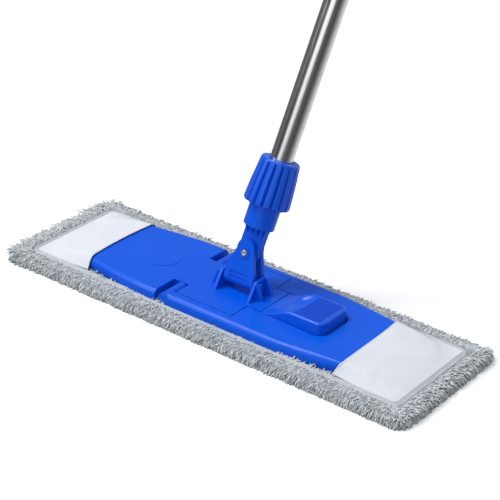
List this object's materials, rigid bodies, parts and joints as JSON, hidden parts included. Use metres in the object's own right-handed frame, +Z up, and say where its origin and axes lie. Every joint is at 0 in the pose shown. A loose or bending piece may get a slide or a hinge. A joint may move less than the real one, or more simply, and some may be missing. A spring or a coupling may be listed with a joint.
{
  "type": "flat mop",
  "caption": "Flat pocket mop: folding moulded frame with foot pedal in a fringed microfibre pad, tilting joint and clamped steel tube handle.",
  "frame": {"origin": "centre of the pad's sole, on the floor", "axes": "+Z up; +X along the mop's length towards the foot pedal; +Y across the mop, towards the side the handle leans to"},
  "size_m": [0.47, 0.4411, 1.0675],
  "materials": {
    "blue_plastic": "satin moulded polypropylene",
    "polished_steel": "polished stainless tube",
    "zinc_steel": "zinc plated",
    "spring_steel": "drawn wire",
    "natural_nylon": "natural",
    "grey_microfibre": "cut and twisted pile",
    "white_pocket_cloth": "ribbed woven cloth"
  },
  "bodies": {
    "left_half": {"left_wing": "blue_plastic", "yoke_pin": "zinc_steel", "pad_left": "grey_microfibre", "pad_middle": "grey_microfibre", "pocket_left": "white_pocket_cloth"},
    "right_half": {"right_wing": "blue_plastic", "hinge_pin_front": "zinc_steel", "hinge_pin_rear": "zinc_steel", "pedal_pin": "zinc_steel", "pedal_spring": "spring_steel", "pad_right": "grey_microfibre", "pocket_right": "white_pocket_cloth"},
    "pedal": {"foot_pedal": "blue_plastic"},
    "yoke": {"yoke": "blue_plastic", "joint_bolt": "zinc_steel", "joint_nut": "zinc_steel"},
    "handle": {"handle_socket": "blue_plastic", "friction_washer_front": "natural_nylon", "friction_washer_rear": "natural_nylon", "handle_tube": "polished_steel", "tube_plug": "blue_plastic", "grip_sleeve": "blue_plastic", "hanging_cap": "blue_plastic"},
    "nut": {"clamp_nut": "blue_plastic"}
  },
  "joints": [
    {"name": "frame_fold", "type": "hinge", "parent": "left_half", "child": "right_half", "pos_m": [-0.048, 0, 0.014], "axis": [0, 1, 0], "range_deg": [0, 90], "deforming": ["pad_middle"]},
    {"name": "pedal_press", "type": "hinge", "parent": "right_half", "child": "pedal", "pos_m": [0.06, 0, 0.013], "axis": [0, 1, 0], "range_deg": [0, 6], "stiffness_Nm_per_rad": 0.15, "springref_deg": -17.19, "deforming": ["pedal_spring"]},
    {"name": "yoke_tilt", "type": "hinge", "parent": "left_half", "child": "yoke", "pos_m": [0.003, 0, 0.03], "axis": [1, 0, 0], "range_deg": [-50, 85]},
    {"name": "handle_swing", "type": "hinge", "parent": "yoke", "child": "handle", "pos_m": [0.003, 0.00879, 0.05553], "axis": [0, 0.9455, -0.3256], "range_deg": [-81, 69]},
    {"name": "nut_turn", "type": "hinge", "parent": "handle", "child": "nut", "pos_m": [0.003, 0.00879, 0.05553], "axis": [0.1045, 0.3238, 0.9403], "range_deg": [0, 180]}
  ]
}
